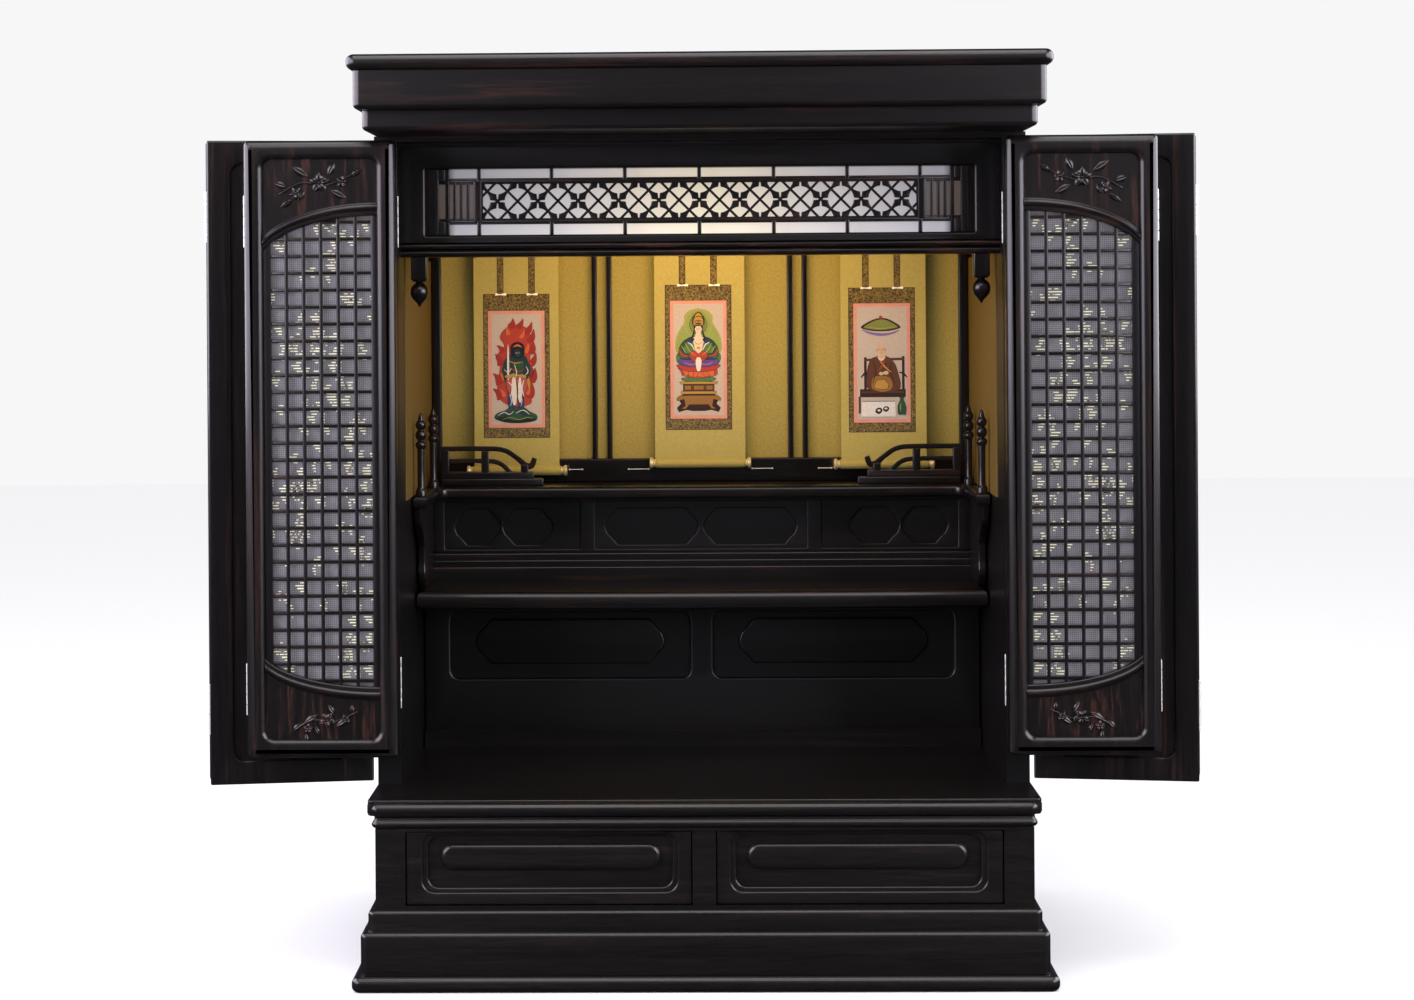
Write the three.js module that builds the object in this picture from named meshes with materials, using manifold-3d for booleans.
// A household altar cabinet of dark ebony-type wood: moulded base with two drawers and a pull-out board,
// a body with tiered shelves, a lattice transom and a gold back with three hanging scrolls,
// and on each side a pair of outer leaves and a pair of lattice leaves that fold together.
// Millimetres, +Z up, front towards -Y, origin at the middle of the underside.
import * as THREE from "three";
import { mergeVertices } from "three/addons/utils/BufferGeometryUtils.js";
import Module from "manifold-3d";

const wasm = await Module();
wasm.setup();

// ---- driving dimensions ----
const width = 580;
const depth = 400;
const height = 770;
const front = -depth / 2;
const back = depth / 2;

// Levels of the base, from the floor up, and how far each course stands in from the foot.
const footTop = 13;
const plinthTop = 48;
const plinthStepTop = 65;
const caseTop = 132;
const coveTop = 141;
const slabTop = 154;
const plinthInset = 7;
const plinthStepInset = 12.7;
const caseInset = 18.7;
const coveInset = 15.7;
const slabInset = 11.5;
const slabFront = front + 24;
const plinthWall = 20;
const plinthStepWall = 22;
const coveWall = 26;

// The body that stands on the slab.
const bodyHalf = 278;
const sideThickness = 20;
const innerHalf = bodyHalf - sideThickness;
const bodyFront = front + 100;
const bodyTop = 708;
const backThickness = 6;
const goldFace = back - 13;

// Levels of the cornice and how far its courses stand in from the top slab.
const corniceStepTop = 725;
const friezeTop = 757;
const corniceStepInset = 11;
const friezeInset = 5.3;
const friezeWall = 18;

// Doors: hinge pins lie in the plane between the outer leaves and the lattice leaves.
const openAngle = 171.5;
const outerFoldAngle = 174;
const leafThickness = 17;
const pinGap = 0.3;
const foldGap = 0.75;
const outerPin = 280;
const outerEdge = 1.5;
const outerBottom = 157;
const outerTop = 704.5;
const latticePin = 257.6;
const latticeEdge = 1.2;
const latticeBottom = 185;
const latticeTop = 702;
const latticeFrame = 15.5;

// Transom between the posts, and the beam below it.
const transomFront = front + 121;
const transomThickness = 14;
const transomBottom = 617;
const transomOpening = { half: 236.5, bottom: 623.7, top: 680.8 };
const beamBottom = 604.7;

// Shelves: the upper one carries the railings, the lower one the offerings.
const upperShelfTop = 393;
const upperShelfThickness = 11;
const upperShelfFront = front + 306;
const upperRiserFront = front + 322;
const lowerShelfTop = 306;
const lowerShelfThickness = 17;
const lowerShelfFront = front + 212;
const lowerRiserFront = front + 300;
const floorStepTop = 170;
const wingFront = front + 196;
const wingInner = 244;
const fit = 0.3;

// ---- materials ----
const wood = (colour, roughness) =>
  new THREE.MeshStandardMaterial({ color: colour, roughness, metalness: 0 });
const darkWood = wood(0x211816, 0.35);
const baseWood = wood(0x262322, 0.38);
const panelWood = wood(0x2c1d19, 0.42);
const goldLeaf = new THREE.MeshStandardMaterial({ color: 0xa8802c, roughness: 0.6, metalness: 0.15 });
const paper = new THREE.MeshStandardMaterial({ color: 0xf1ebe2, roughness: 0.9, metalness: 0 });
const silk = new THREE.MeshStandardMaterial({ color: 0x8f8a98, roughness: 0.75, metalness: 0 });
const scrollCloth = new THREE.MeshStandardMaterial({ color: 0xc9a65a, roughness: 0.85, metalness: 0 });

// ---- solids: joining and cutting ----
const rad = THREE.MathUtils.degToRad;

function solidOf(geometry) {
  const bare = geometry.clone();
  bare.deleteAttribute("normal");
  bare.deleteAttribute("uv");
  const merged = mergeVertices(bare, 1e-4);
  return new wasm.Manifold(
    new wasm.Mesh({
      numProp: 3,
      vertProperties: merged.attributes.position.array,
      triVerts: new Uint32Array(merged.index.array),
    }),
  );
}

function geometryOf(solid) {
  const mesh = solid.getMesh();
  const geometry = new THREE.BufferGeometry();
  geometry.setAttribute("position", new THREE.BufferAttribute(new Float32Array(mesh.vertProperties), 3));
  geometry.setIndex(new THREE.BufferAttribute(new Uint32Array(mesh.triVerts), 1));
  geometry.computeVertexNormals();
  return geometry;
}

const join = (parts) => parts.map(solidOf).reduce((a, b) => a.add(b));
const cut = (geometry, tools) =>
  geometryOf(tools.map(solidOf).reduce((a, b) => a.subtract(b), solidOf(geometry)));
const keep = (geometry, tool) => geometryOf(solidOf(geometry).intersect(solidOf(tool)));
const joined = (parts) => geometryOf(join(parts));

// ---- basic shapes ----
function box(x0, x1, y0, y1, z0, z1) {
  const geometry = new THREE.BoxGeometry(x1 - x0, y1 - y0, z1 - z0);
  return geometry.translate((x0 + x1) / 2, (y0 + y1) / 2, (z0 + z1) / 2);
}

// A rectangle with round corners, as a path or a shape.
function roundedRect(path, x0, x1, y0, y1, r) {
  path.moveTo(x0 + r, y0);
  path.lineTo(x1 - r, y0);
  path.absarc(x1 - r, y0 + r, r, -Math.PI / 2, 0, false);
  path.lineTo(x1, y1 - r);
  path.absarc(x1 - r, y1 - r, r, 0, Math.PI / 2, false);
  path.lineTo(x0 + r, y1);
  path.absarc(x0 + r, y1 - r, r, Math.PI / 2, Math.PI, false);
  path.lineTo(x0, y0 + r);
  path.absarc(x0 + r, y0 + r, r, Math.PI, 1.5 * Math.PI, false);
  return path;
}

// A level board from a plan outline, with its upper or lower edge rounded over all round.
function board(plan, bottom, top, options = {}) {
  const { round = 3, roundTop = true, roundBottom = true, steps = 3, curve = 2 } = options;
  const low = roundBottom ? bottom : bottom - round;
  const high = roundTop ? top : top + round;
  const body = new THREE.ExtrudeGeometry(plan, {
    depth: high - low - 2 * round,
    bevelThickness: round,
    bevelSize: round,
    bevelOffset: -round,
    bevelSegments: steps,
    curveSegments: curve,
  }).translate(0, 0, low + round);
  return roundTop && roundBottom ? body : keep(body, box(-width, width, -depth, depth, bottom, top));
}

// A moulded course of the base or cornice: rounded on the front and the two ends, flat at the back.
function course(inset, bottom, top, options) {
  const half = width / 2 - inset;
  const corner = options.round + 1;
  const plan = roundedRect(new THREE.Shape(), -half, half, front + inset, back + 12, corner);
  return keep(board(plan, bottom, top, options), box(-half, half, front, back, bottom, top));
}

// An upright plate drawn in the plane of the front (x across, y up) and given its thickness along +Y.
function upright(shape, yFront, thickness, { bevel = 0, curve = 4, steps = 2 } = {}) {
  const geometry = new THREE.ExtrudeGeometry(shape, {
    depth: thickness - 2 * bevel,
    bevelEnabled: bevel > 0,
    bevelThickness: bevel,
    bevelSize: bevel,
    bevelOffset: -bevel,
    bevelSegments: steps,
    curveSegments: curve,
  });
  return geometry.rotateX(Math.PI / 2).translate(0, yFront + thickness - bevel, 0);
}

// A turned piece from radius and height pairs, standing on z = bottom at (x, y).
function turned(profile, x, y, bottom, sides = 8) {
  const points = profile.map(([r, z]) => new THREE.Vector2(r, z));
  return new THREE.LatheGeometry(points, sides).rotateX(Math.PI / 2).translate(x, y, bottom);
}

function named(name, geometry, material) {
  const mesh = new THREE.Mesh(geometry, material);
  mesh.name = name;
  return mesh;
}

// ---- base ----
function hollow(geometry, inset, wall, bottom, top) {
  const half = width / 2 - inset - wall;
  return cut(geometry, [box(-half, half, front + inset + wall, back - wall, bottom - 1, top + 1)]);
}

const drawerBay = { inner: 9.7, outer: 246.6, bottom: 68, top: 129.2, back: back - 16 };

function drawerCase() {
  const half = width / 2 - caseInset;
  const bay = (side) =>
    box(
      Math.min(side * drawerBay.inner, side * drawerBay.outer),
      Math.max(side * drawerBay.inner, side * drawerBay.outer),
      front,
      drawerBay.back,
      drawerBay.bottom,
      drawerBay.top,
    );
  return cut(box(-half, half, front + caseInset, back, plinthStepTop, caseTop), [bay(-1), bay(1)]);
}

// The slab under the doors, with the slot that the pull-out board slides in.
const boardSlot = { half: 262, bottom: 143.6, top: 150.6, back: back - 60 };

function doorSlab() {
  const half = width / 2 - slabInset;
  const plan = roundedRect(new THREE.Shape(), -half, half, slabFront, back + 12, 4.5);
  const body = board(plan, coveTop, slabTop, { round: 3.5, roundTop: false });
  return cut(keep(body, box(-half, half, front, back, coveTop, slabTop)), [
    box(-boardSlot.half, boardSlot.half, front, boardSlot.back, boardSlot.bottom, boardSlot.top),
  ]);
}

// The pull-out board: a thin panel behind a thicker rounded nose.
const boardNose = { half: 274.5, front: front + 12, bottom: 142, top: 153 };

function pullOutBoard() {
  const plan = roundedRect(
    new THREE.Shape(),
    -boardNose.half,
    boardNose.half,
    boardNose.front,
    slabFront - fit + 12,
    5.4,
  );
  const nose = keep(
    board(plan, boardNose.bottom, boardNose.top, { round: 5, steps: 4, curve: 2 }),
    box(-width, width, front, slabFront - fit, 0, height),
  );
  const panel = box(
    -boardSlot.half + 0.6,
    boardSlot.half - 0.6,
    slabFront - fit - 1,
    boardSlot.back - 1,
    boardSlot.bottom + 0.3,
    boardSlot.top - 0.3,
  );
  return joined([nose, panel]);
}

// A drawer front: a field sunk with round corners, and in it a raised bar with half-round ends.
const drawerFront = { y: front + caseInset + 1.8, thickness: 15 };

function drawerFace(side) {
  const x0 = drawerBay.inner + 0.5;
  const x1 = drawerBay.outer - 0.5;
  const z0 = drawerBay.bottom + 0.5;
  const z1 = drawerBay.top - 0.5;
  const face = upright(
    roundedRect(new THREE.Shape(), x0, x1, z0, z1, 1.4),
    drawerFront.y,
    drawerFront.thickness,
    { curve: 1 },
  );
  const outerField = upright(
    roundedRect(new THREE.Shape(), x0 + 12, x1 - 13.5, z0 + 10, z1 - 2, 10),
    drawerFront.y - 3,
    3 + 2.2,
    { curve: 2 },
  );
  const innerField = upright(
    roundedRect(new THREE.Shape(), x0 + 16, x1 - 18, z0 + 13.5, z1 - 4, 9),
    drawerFront.y - 3,
    3 + 5.5,
    { curve: 2 },
  );
  const bar = upright(
    roundedRect(new THREE.Shape(), x0 + 25.5, x1 - 28.5, z0 + 28, z0 + 49.5, 10.6),
    drawerFront.y + 1.2,
    6,
    { bevel: 1.2, curve: 3, steps: 1 },
  );
  const made = geometryOf(solidOf(cut(face, [outerField, innerField])).add(solidOf(bar)));
  return side > 0 ? made : mirrored(made);
}

function mirrored(geometry) {
  const flipped = geometry.clone().scale(-1, 1, 1);
  const index = flipped.index.array;
  for (let i = 0; i < index.length; i += 3) [index[i + 1], index[i + 2]] = [index[i + 2], index[i + 1]];
  return flipped;
}

function drawerBox(side) {
  const x0 = drawerBay.inner + 3;
  const x1 = drawerBay.outer - 3;
  const y0 = drawerFront.y + drawerFront.thickness;
  const y1 = drawerBay.back - 4;
  const z0 = drawerBay.bottom + 0.5;
  const z1 = drawerBay.top - 8;
  const wall = 7;
  const shell = cut(box(x0, x1, y0, y1, z0, z1), [
    box(x0 + wall, x1 - wall, y0 + wall, y1 - wall, z0 + 5, z1 + 1),
  ]);
  return side > 0 ? shell : mirrored(shell);
}

// ---- body ----
function sidePanel(side) {
  const x0 = Math.min(side * innerHalf, side * bodyHalf);
  return box(x0, x0 + sideThickness, bodyFront, back - backThickness, slabTop, bodyTop);
}

// The cornice's lower course, a deep soffit over the doors that bears on the side panels.
function corniceStep() {
  const half = width / 2 - corniceStepInset;
  const plan = roundedRect(new THREE.Shape(), -half, half, front + 20, back + 12, 5);
  const body = board(plan, bodyTop, corniceStepTop, { round: 4, roundTop: false });
  return cut(keep(body, box(-half, half, front, back, bodyTop, corniceStepTop)), [
    box(-innerHalf + 8, innerHalf - 8, bodyFront + 30, back - 20, bodyTop - 1, corniceStepTop + 1),
  ]);
}

// ---- transom ----
const bar = 2.6;

function transomFrame() {
  const outer = box(-innerHalf, innerHalf, transomFront, transomFront + transomThickness, transomBottom, 700);
  const hole = transomOpening;
  return cut(outer, [box(-hole.half, hole.half, front, back, hole.bottom, hole.top)]);
}

// Thin bars: two long rails, uprights above and below, slats at the ends, a diagonal trellis between.
function transomTrellis() {
  const y0 = transomFront + 4;
  const y1 = y0 + 5;
  const { half, bottom, top } = transomOpening;
  const bandLow = 635.4;
  const bandHigh = 670.8;
  const trellisHalf = 191;
  const pitch = 35.3;
  const parts = [
    box(-half, half, y0, y1, bandLow - bar / 2, bandLow + bar / 2),
    box(-half, half, y0, y1, bandHigh - bar / 2, bandHigh + bar / 2),
  ];
  for (const x of [-218.6, -191, -127.6, -64.2, 0, 64.2, 127.6, 191, 218.6]) {
    parts.push(box(x - bar / 2, x + bar / 2, y0, y1, bottom, bandLow));
    parts.push(box(x - bar / 2, x + bar / 2, y0, y1, bandHigh, top));
  }
  for (const side of [-1, 1])
    for (let i = 0; i < 5; i++) {
      const x = side * (trellisHalf + 1.3 + i * 7.6);
      parts.push(box(x - bar / 2, x + bar / 2, y0, y1, bandLow, bandHigh));
    }
  const rise = bandHigh - bandLow;
  for (let i = -5; i <= 5; i++)
    for (const lean of [-1, 1]) {
      const layer = lean < 0 ? y0 + 0.3 : (y0 + y1) / 2 + 0.1;
      const strut = box(-bar / 2, bar / 2, layer, layer + 2, 0, Math.hypot(rise, pitch));
      strut.rotateY(lean * Math.atan2(pitch, rise));
      strut.translate(i * pitch - (lean * pitch) / 2, 0, bandLow);
      parts.push(strut);
    }
  return joined(parts);
}

function beam() {
  const beamBack = transomFront + 29;
  const profile = roundedRect(new THREE.Shape(), transomFront, beamBack, beamBottom, transomBottom, 5);
  const options = { depth: 2 * innerHalf, bevelEnabled: false, curveSegments: 3 };
  const geometry = new THREE.ExtrudeGeometry(profile, options);
  // The profile's x is the depth of the cabinet and its y the height.
  return geometry.rotateX(Math.PI / 2).rotateZ(Math.PI / 2).translate(-innerHalf, 0, 0);
}

function pendant(x) {
  const y = transomFront + 12;
  const post = box(x - 7, x + 7, y - 7, y + 7, 585, beamBottom);
  const drop = turned(
    [
      [0, 0],
      [2.2, 4],
      [5.6, 6.5],
      [8, 11],
      [8, 15],
      [5.6, 19.5],
      [3.5, 21],
      [6, 22.5],
      [6, 24],
      [0, 24],
    ],
    x,
    y,
    562,
  );
  return joined([post, drop]);
}

// ---- gold back ----
const backPosts = [84, 98];

function backFrame() {
  const y0 = goldFace - 10;
  const y1 = goldFace;
  const top = 700;
  const parts = [box(-innerHalf + 1.5, innerHalf - 1.5, y0, y1, upperShelfTop, 415)];
  parts.push(box(-innerHalf + 1.5, innerHalf - 1.5, y0, y1, 690, top));
  for (const side of [-1, 1]) {
    const corner = side * (innerHalf - 6);
    parts.push(box(corner - 4.5, corner + 4.5, y0, y1, upperShelfTop, top));
    for (const x of backPosts)
      parts.push(box(side * (x + 2.5) - 2.5, side * (x + 2.5) + 2.5, y0, y1, upperShelfTop, top));
  }
  return joined(parts);
}

// ---- shelves ----
// A board with a bowed front edge, cut square at the sides and back.
function bowedShelf(yFront, bow, yBack, bottom, top, { round = 4, wing = 0 } = {}) {
  const half = innerHalf - 1.5;
  const plan = new THREE.Shape();
  plan.moveTo(-half - 8, yFront + bow);
  plan.quadraticCurveTo(0, yFront - bow, half + 8, yFront + bow);
  plan.lineTo(half + 8, yBack + 12);
  plan.lineTo(-half - 8, yBack + 12);
  const body = board(plan, bottom, top, { round, steps: 3, curve: 12 });
  const trimmed = keep(body, box(-half, half, front, yBack, bottom, top));
  if (!wing) return trimmed;
  const wings = [-1, 1].map((side) => {
    const x0 = Math.min(side * wingInner, side * half);
    return box(x0, x0 + half - wingInner, wing, yFront + bow + 8, bottom, top);
  });
  return geometryOf(wings.map(solidOf).reduce((a, b) => a.add(b), solidOf(trimmed)));
}

// The outline of a cloud-shaped panel: a long hexagon with a cusped scallop at each end.
function cloudPanel(x, z, halfLength, halfHeight) {
  const nick = halfHeight * 0.45;
  const shape = new THREE.Shape();
  shape.moveTo(x - halfLength + nick, z - halfHeight);
  for (const end of [1, -1]) {
    const tip = x + end * halfLength;
    const neck = tip - end * nick * 0.4;
    const waist = tip + end * nick * 0.4;
    const rise = end * halfHeight;
    shape.lineTo(tip - end * nick, z - rise);
    shape.quadraticCurveTo(neck, z - rise * 0.4, tip, z - rise * 0.25);
    shape.quadraticCurveTo(waist, z, tip, z + rise * 0.25);
    shape.quadraticCurveTo(neck, z + rise * 0.4, tip - end * nick, z + rise);
  }
  return shape;
}

function upperRiser() {
  const half = innerHalf - 1.5;
  const bottom = lowerShelfTop;
  const top = upperShelfTop - upperShelfThickness;
  const wall = box(-half, half, upperRiserFront, upperRiserFront + 12, bottom, top);
  const fields = [
    [-186, 40],
    [0, 88],
    [186, 40],
  ];
  const sunk = fields.map(([x, halfLength]) =>
    upright(cloudPanel(x, 354.5, halfLength, 17), upperRiserFront - 1, 1 + 3.5, { curve: 2 }),
  );
  const bays = [
    [-240, -113],
    [-99, 99],
    [113, 240],
  ].map(([x0, x1]) => box(x0, x1, upperRiserFront - 1, upperRiserFront + 2, 334, top - 4));
  const steps = [
    [4, 331],
    [8, 325],
    [12, 319],
  ].map(([out, z]) => box(-half, half, upperRiserFront - out, upperRiserFront, bottom, z));
  return geometryOf(steps.map(solidOf).reduce((a, b) => a.add(b), solidOf(cut(cut(wall, bays), sunk))));
}

function lowerRiser() {
  const half = innerHalf - 1.5;
  const top = lowerShelfTop - lowerShelfThickness;
  const wall = box(-half, half, lowerRiserFront, lowerRiserFront + 12, slabTop, top);
  const sunk = [];
  const raised = [];
  for (const side of [-1, 1]) {
    const x = side * 122;
    const field = roundedRect(new THREE.Shape(), x - 111, x + 111, 216, 277, 8);
    sunk.push(upright(field, lowerRiserFront - 1, 1 + 4, { curve: 2 }));
    const cloud = cloudPanel(x, 250, 86, 21);
    raised.push(upright(cloud, lowerRiserFront + 1.5, 4, { bevel: 1, curve: 2, steps: 1 }));
  }
  return geometryOf(raised.map(solidOf).reduce((a, b) => a.add(b), solidOf(cut(wall, sunk))));
}

// The side bracket under each wing of the upper shelf: a board with an S-curved front edge.
function bracket(side) {
  const x0 = side * (innerHalf - 1.5);
  const thickness = 7;
  const yBack = upperRiserFront - 12.3;
  const shape = new THREE.Shape();
  shape.moveTo(yBack, lowerShelfTop);
  shape.lineTo(yBack, upperShelfTop - upperShelfThickness);
  shape.lineTo(wingFront + 4, upperShelfTop - upperShelfThickness);
  shape.bezierCurveTo(wingFront + 8, 352, wingFront + 44, 350, wingFront + 38, 330);
  shape.quadraticCurveTo(wingFront + 34, 312, wingFront + 46, lowerShelfTop);
  const options = { depth: thickness, bevelEnabled: false, curveSegments: 5 };
  return new THREE.ExtrudeGeometry(shape, options)
    .rotateX(Math.PI / 2)
    .rotateZ(Math.PI / 2)
    .translate(side > 0 ? x0 - thickness : x0, 0, 0);
}

// A turned post with a ball and a pointed finial.
const finialProfile = [
  [0, 0],
  [5, 0],
  [5, 5],
  [2.6, 7],
  [2.6, 44],
  [4.6, 47],
  [2.4, 50],
  [4.6, 56],
  [2.2, 61],
  [4.4, 66],
  [0, 74],
];

// A low railing whose top rail sweeps down at its inner end and flicks up again.
function railing(side) {
  const y = upperShelfFront + 20;
  const bottom = upperShelfTop;
  const rail = (points, thickness) => {
    const curve = new THREE.CatmullRomCurve3(points.map(([x, z]) => new THREE.Vector3(x, y, z)));
    const half = thickness / 2;
    const section = new THREE.Shape();
    section.moveTo(-half, -half);
    section.lineTo(half, -half);
    section.lineTo(half, half);
    section.lineTo(-half, half);
    return new THREE.ExtrudeGeometry(section, { steps: 7, bevelEnabled: false, extrudePath: curve });
  };
  const top = rail(
    [
      [-243, bottom + 30],
      [-200, bottom + 30],
      [-178, bottom + 28],
      [-163, bottom + 18],
      [-155, bottom + 17],
      [-152, bottom + 24],
    ],
    4,
  );
  const middle = rail(
    [
      [-243, bottom + 20],
      [-205, bottom + 20],
      [-188, bottom + 17],
      [-176, bottom + 4],
    ],
    3.4,
  );
  const parts = [
    top,
    middle,
    box(-243, -147, y - 3, y + 3, bottom, bottom + 5),
    box(-204, -200, y - 2, y + 2, bottom + 3, bottom + 31),
    box(-243.5, -239.5, y - 2, y + 2, bottom + 3, bottom + 33),
    box(-166, -162, y - 2, y + 2, bottom + 3, bottom + 20),
  ];
  const made = joined(parts);
  return side > 0 ? mirrored(made) : made;
}

// ---- scrolls ----
// A hanging scroll: cloth with a stiff batten at the top on its peg, and a roller at the bottom.
function scroll(x, clothWidth, rollerZ, rollerWidth) {
  const y = goldFace - 16;
  const roller = new THREE.CylinderGeometry(5.4, 5.4, rollerWidth, 10);
  roller.rotateZ(Math.PI / 2).translate(x, y, rollerZ);
  const cloth = box(x - clothWidth / 2, x + clothWidth / 2, y - 0.5, y + 0.5, rollerZ, 640);
  const batten = box(x - clothWidth / 2, x + clothWidth / 2, y - 2, y + 2, 634, 640);
  const peg = box(x - 2, x + 2, y, goldFace, 635, 639);
  return joined([cloth, roller, batten, peg]);
}

// ---- doors ----
// Each leaf is drawn closed, for the left side, with its hinge pin at the origin of its group:
// x runs from the hinge edge towards the middle of the cabinet, -Y is the outside of the cabinet.
const outerLeafWidth = (outerPin - outerEdge - 3 * foldGap) / 2;
const latticeLeafWidth = (latticePin - latticeEdge - 3 * foldGap) / 2;

function outerLeaf(x0, y0) {
  const x1 = x0 + outerLeafWidth;
  const plate = box(x0, x1, y0, y0 + leafThickness, outerBottom, outerTop);
  const margin = 20;
  const low = outerBottom + margin;
  const high = outerTop - margin;
  const field = (y) =>
    upright(roundedRect(new THREE.Shape(), x0 + margin, x1 - margin, low, high, 10), y, 5, { curve: 2 });
  return cut(plate, [field(y0 - 2.5), field(y0 + leafThickness - 2.5)]);
}

const archSegments = 6;

// The height of the arch's lower edge at a place across the opening, from its low end to its high end.
function archEdge(t, arch, sign) {
  const drop = arch.rise * (1 - Math.sqrt(1 - (1 - t) ** 2 * 0.92));
  return arch.high - sign * drop;
}

// A curved band across the opening; sign +1 is the upper arch, -1 the lower one.
function archBand(x0, x1, arch, sign) {
  const shape = new THREE.Shape();
  const edge = (i, lift) => {
    const t = i / archSegments;
    return [x0 + (x1 - x0) * t, archEdge(t, arch, sign) + sign * lift];
  };
  for (let i = 0; i <= archSegments; i++) shape[i ? "lineTo" : "moveTo"](...edge(i, 0));
  for (let i = archSegments; i >= 0; i--) shape.lineTo(...edge(i, archBandHeight));
  return shape;
}

// The spandrel between the arch and the end of the opening.
function spandrel(x0, x1, arch, zEnd, sign) {
  const shape = new THREE.Shape();
  for (let i = 0; i <= archSegments; i++) {
    const t = i / archSegments;
    shape[i ? "lineTo" : "moveTo"](x0 + (x1 - x0) * t, archEdge(t, arch, sign) + sign * 2);
  }
  shape.lineTo(x1, zEnd);
  shape.lineTo(x0, zEnd);
  return shape;
}

function petal(x, z, length, breadth, angle) {
  const shape = new THREE.Shape();
  const c = Math.cos(rad(angle));
  const s = Math.sin(rad(angle));
  const at = (a, b) => [x + a * c - b * s, z + a * s + b * c];
  shape.moveTo(...at(0, 0));
  shape.lineTo(...at(length * 0.45, -breadth / 2));
  shape.lineTo(...at(length, 0));
  shape.lineTo(...at(length * 0.45, breadth / 2));
  return shape;
}

// A spray of carved blossoms and leaves on a spandrel.
function spray(x, z, scale) {
  const shapes = [];
  const blossom = new THREE.Shape();
  for (let i = 0; i < 10; i++) {
    const reach = (i % 2 ? 4.5 : 11) * scale;
    const turn = rad(90 + i * 36);
    blossom[i ? "lineTo" : "moveTo"](x + reach * Math.cos(turn), z + reach * Math.sin(turn));
  }
  shapes.push(blossom);
  for (const [dx, dz, angle] of [
    [-16, -7, 200],
    [-20, 4, 150],
    [16, 2, 20],
    [19, -9, -40],
  ])
    shapes.push(petal(x + dx * scale, z + dz * scale, 13 * scale, 7 * scale, angle));
  return shapes;
}

const upperArch = { high: latticeTop - 63, rise: 43 };
const lowerArch = { high: latticeBottom + 59, rise: 36 };
const archBandHeight = 8;
const latticeColumns = 6;
const solidLatticeRows = 7;
const latticeBar = 2.6;

function latticeLeaf(x0, y0, carved) {
  const x1 = x0 + latticeLeafWidth;
  const inner = { x0: x0 + latticeFrame, x1: x1 - latticeFrame };
  inner.z0 = latticeBottom + latticeFrame;
  inner.z1 = latticeTop - latticeFrame;
  const frameShape = roundedRect(new THREE.Shape(), x0, x1, latticeBottom, latticeTop, 3);
  frameShape.holes.push(roundedRect(new THREE.Path(), inner.x0, inner.x1, inner.z0, inner.z1, 8));
  const frame = upright(frameShape, y0, leafThickness, { bevel: 2.5, curve: 2, steps: 2 });
  const reach = 1.5;
  const insert = { y: y0 + 4.5, thickness: 5 };
  const a = inner.x0 - reach;
  const b = inner.x1 + reach;
  const slab = (shape, y, thickness, options) => upright(shape, y, thickness, { curve: 1, ...options });
  const parts = [
    frame,
    slab(spandrel(a, b, upperArch, inner.z1 + reach, 1), insert.y, insert.thickness),
    slab(spandrel(a, b, lowerArch, inner.z0 - reach, -1), insert.y, insert.thickness),
    slab(archBand(a, b, upperArch, 1), y0 + 2.2, 7.3),
    slab(archBand(a, b, lowerArch, -1), y0 + 2.2, 7.3),
  ];
  const barSize = latticeBar / 2;
  const pitch = (b - a - 2 * reach) / latticeColumns;
  for (let i = 1; i < latticeColumns; i++) {
    const x = inner.x0 + i * pitch;
    const yBar = insert.y + 0.2;
    parts.push(box(x - barSize, x + barSize, yBar, yBar + 2, lowerArch.high - 3, upperArch.high + 3));
  }
  const rowPitch = (upperArch.high - lowerArch.high) / solidLatticeRows;
  for (let i = 0; i < solidLatticeRows; i++) {
    const z = lowerArch.high + (i + 0.5) * rowPitch;
    parts.push(box(a, b, insert.y + 2.4, insert.y + 4.4, z - barSize, z + barSize));
  }
  const middle = (a + b) / 2;
  if (!carved) return joined(parts);
  for (const shape of [...spray(middle - 2, inner.z1 - 19, 1), ...spray(middle + 2, inner.z0 + 17, 0.8)])
    parts.push(slab(shape, insert.y - 2, 3));
  return joined(parts);
}

function silkPanel(x0, y0) {
  const reach = 0.4;
  const a = x0 + latticeFrame + reach;
  const b = x0 + latticeLeafWidth - latticeFrame - reach;
  const z0 = latticeBottom + latticeFrame + reach;
  const z1 = latticeTop - latticeFrame - reach;
  return upright(roundedRect(new THREE.Shape(), a, b, z0, z1, 8), y0 + 9.8, 1, { curve: 2 });
}

function hinged(x, y, angle) {
  const group = new THREE.Group();
  group.position.set(x, y, 0);
  group.rotation.z = rad(angle);
  return group;
}

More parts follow.
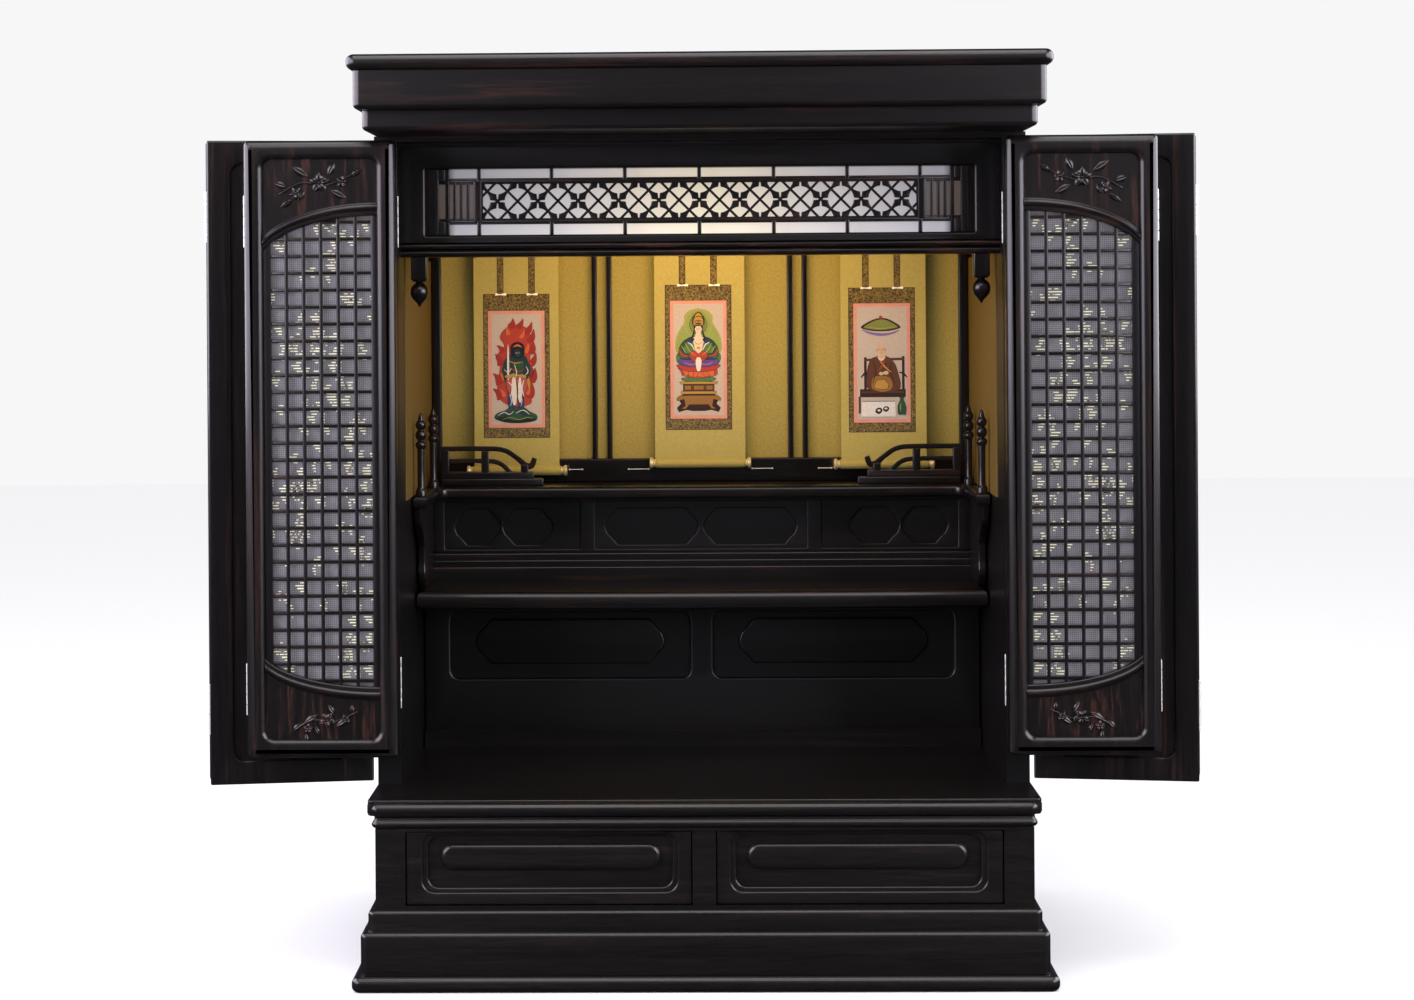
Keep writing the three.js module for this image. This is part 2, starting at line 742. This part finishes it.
// The four leaves of the left side at rest, folded open; the right side is their mirror image.
function doorSet(side) {
  const name = side < 0 ? "left" : "right";
  const set = new THREE.Group();
  const outer = hinged(-outerPin, bodyFront, -openAngle);
  outer.add(named(`${name}_outer_leaf`, outerLeaf(outerEdge, -pinGap - leafThickness), darkWood));
  const outerFoldX = outerEdge + outerLeafWidth + foldGap;
  const outerFold = hinged(outerFoldX, -2 * pinGap - leafThickness, -outerFoldAngle);
  outerFold.add(named(`${name}_outer_fold_leaf`, outerLeaf(foldGap, pinGap), darkWood));
  outer.add(outerFold);
  const lattice = hinged(-latticePin, bodyFront, -openAngle);
  lattice.add(named(`${name}_lattice_leaf`, latticeLeaf(latticeEdge, pinGap, false), darkWood));
  lattice.add(named(`${name}_lattice_silk`, silkPanel(latticeEdge, pinGap), silk));
  const latticeFold = hinged(latticeEdge + latticeLeafWidth + foldGap, 2 * pinGap + leafThickness, openAngle);
  const foldLeaf = latticeLeaf(foldGap, -pinGap - leafThickness, true);
  latticeFold.add(named(`${name}_lattice_fold_leaf`, foldLeaf, darkWood));
  latticeFold.add(named(`${name}_lattice_fold_silk`, silkPanel(foldGap, -pinGap - leafThickness), silk));
  lattice.add(latticeFold);
  set.add(outer, lattice);
  set.scale.x = -side;
  return set;
}

// ---- assembly ----
const altar = new THREE.Group();

altar.add(
  named("foot", course(0, 0, footTop, { round: 5.5 }), baseWood),
  named(
    "plinth",
    hollow(
      course(plinthInset, footTop, plinthTop, { round: 3, roundBottom: false }),
      plinthInset,
      plinthWall,
      footTop,
      plinthTop,
    ),
    baseWood,
  ),
  named(
    "plinth_step",
    hollow(
      course(plinthStepInset, plinthTop, plinthStepTop, { round: 3, roundBottom: false }),
      plinthStepInset,
      plinthStepWall,
      plinthTop,
      plinthStepTop,
    ),
    baseWood,
  ),
  named("drawer_case", drawerCase(), baseWood),
  named(
    "cove_moulding",
    hollow(
      course(coveInset, caseTop, coveTop, { round: 3.5, steps: 2, curve: 2 }),
      coveInset,
      coveWall,
      caseTop,
      coveTop,
    ),
    baseWood,
  ),
  named("door_slab", doorSlab(), baseWood),
  named("pull_out_board", pullOutBoard(), darkWood),
);
for (const [side, name] of [
  [-1, "left"],
  [1, "right"],
]) {
  altar.add(
    named(`${name}_drawer_front`, drawerFace(side), baseWood),
    named(`${name}_drawer_box`, drawerBox(side), panelWood),
    named(`${name}_side_panel`, sidePanel(side), darkWood),
  );
}
altar.add(
  named("back_panel", box(-bodyHalf, bodyHalf, back - backThickness, back, slabTop, bodyTop), panelWood),
  named("head_rail", box(-innerHalf, innerHalf, bodyFront, bodyFront + 20, 703, bodyTop), darkWood),
  named(
    "ceiling_board",
    box(-innerHalf, innerHalf, bodyFront + 20, back - backThickness, 700, bodyTop),
    darkWood,
  ),
  named("cornice_step", corniceStep(), darkWood),
  named(
    "cornice_frieze",
    hollow(
      course(friezeInset, corniceStepTop, friezeTop, { round: 4, roundTop: false }),
      friezeInset,
      friezeWall,
      corniceStepTop,
      friezeTop,
    ),
    darkWood,
  ),
  named("cornice_top", course(0, friezeTop, height, { round: 6 }), darkWood),
  named("transom_frame", transomFrame(), darkWood),
  named("transom_trellis", transomTrellis(), darkWood),
  named(
    "transom_paper",
    box(-240, 240, transomFront + transomThickness, transomFront + transomThickness + 1, 620, 684),
    paper,
  ),
  named("beam", beam(), darkWood),
  named("left_pendant", pendant(-243), darkWood),
  named("right_pendant", pendant(243), darkWood),
  named("gold_back", box(-innerHalf, innerHalf, goldFace, goldFace + 2, upperShelfTop, 700), goldLeaf),
  named("back_frame", backFrame(), darkWood),
);
for (const [side, name] of [
  [-1, "left"],
  [1, "right"],
]) {
  const lining = side * (innerHalf - 0.5);
  const liningFront = transomFront + 30;
  const post = (y) => turned(finialProfile, side * 250, y, upperShelfTop, 7);
  altar.add(
    named(
      `gold_${name}`,
      box(lining - 0.5, lining + 0.5, liningFront, goldFace, upperShelfTop, beamBottom),
      goldLeaf,
    ),
    named(`${name}_bracket`, bracket(side), darkWood),
    named(`${name}_railing`, railing(side), darkWood),
    named(`${name}_front_finial`, post(wingFront + 8), darkWood),
    named(`${name}_rear_finial`, post(upperShelfFront + 11), darkWood),
  );
}
altar.add(
  named(
    "upper_shelf",
    bowedShelf(upperShelfFront, 6, goldFace, upperShelfTop - upperShelfThickness, upperShelfTop, {
      wing: wingFront,
    }),
    darkWood,
  ),
  named("upper_riser", upperRiser(), darkWood),
  named(
    "lower_shelf",
    bowedShelf(lowerShelfFront, 8, goldFace, lowerShelfTop - lowerShelfThickness, lowerShelfTop, {
      round: 6,
    }),
    darkWood,
  ),
  named("lower_riser", lowerRiser(), darkWood),
  named(
    "floor_step",
    box(-innerHalf + 1.5, innerHalf - 1.5, lowerRiserFront - 12, lowerRiserFront, slabTop, floorStepTop),
    darkWood,
  ),
  named("left_scroll", scroll(-175, 81, 404.5, 96), scrollCloth),
  named("centre_scroll", scroll(0, 86, 411, 97), scrollCloth),
  named("right_scroll", scroll(175, 81, 409, 96), scrollCloth),
  doorSet(-1),
  doorSet(1),
);

export default altar;
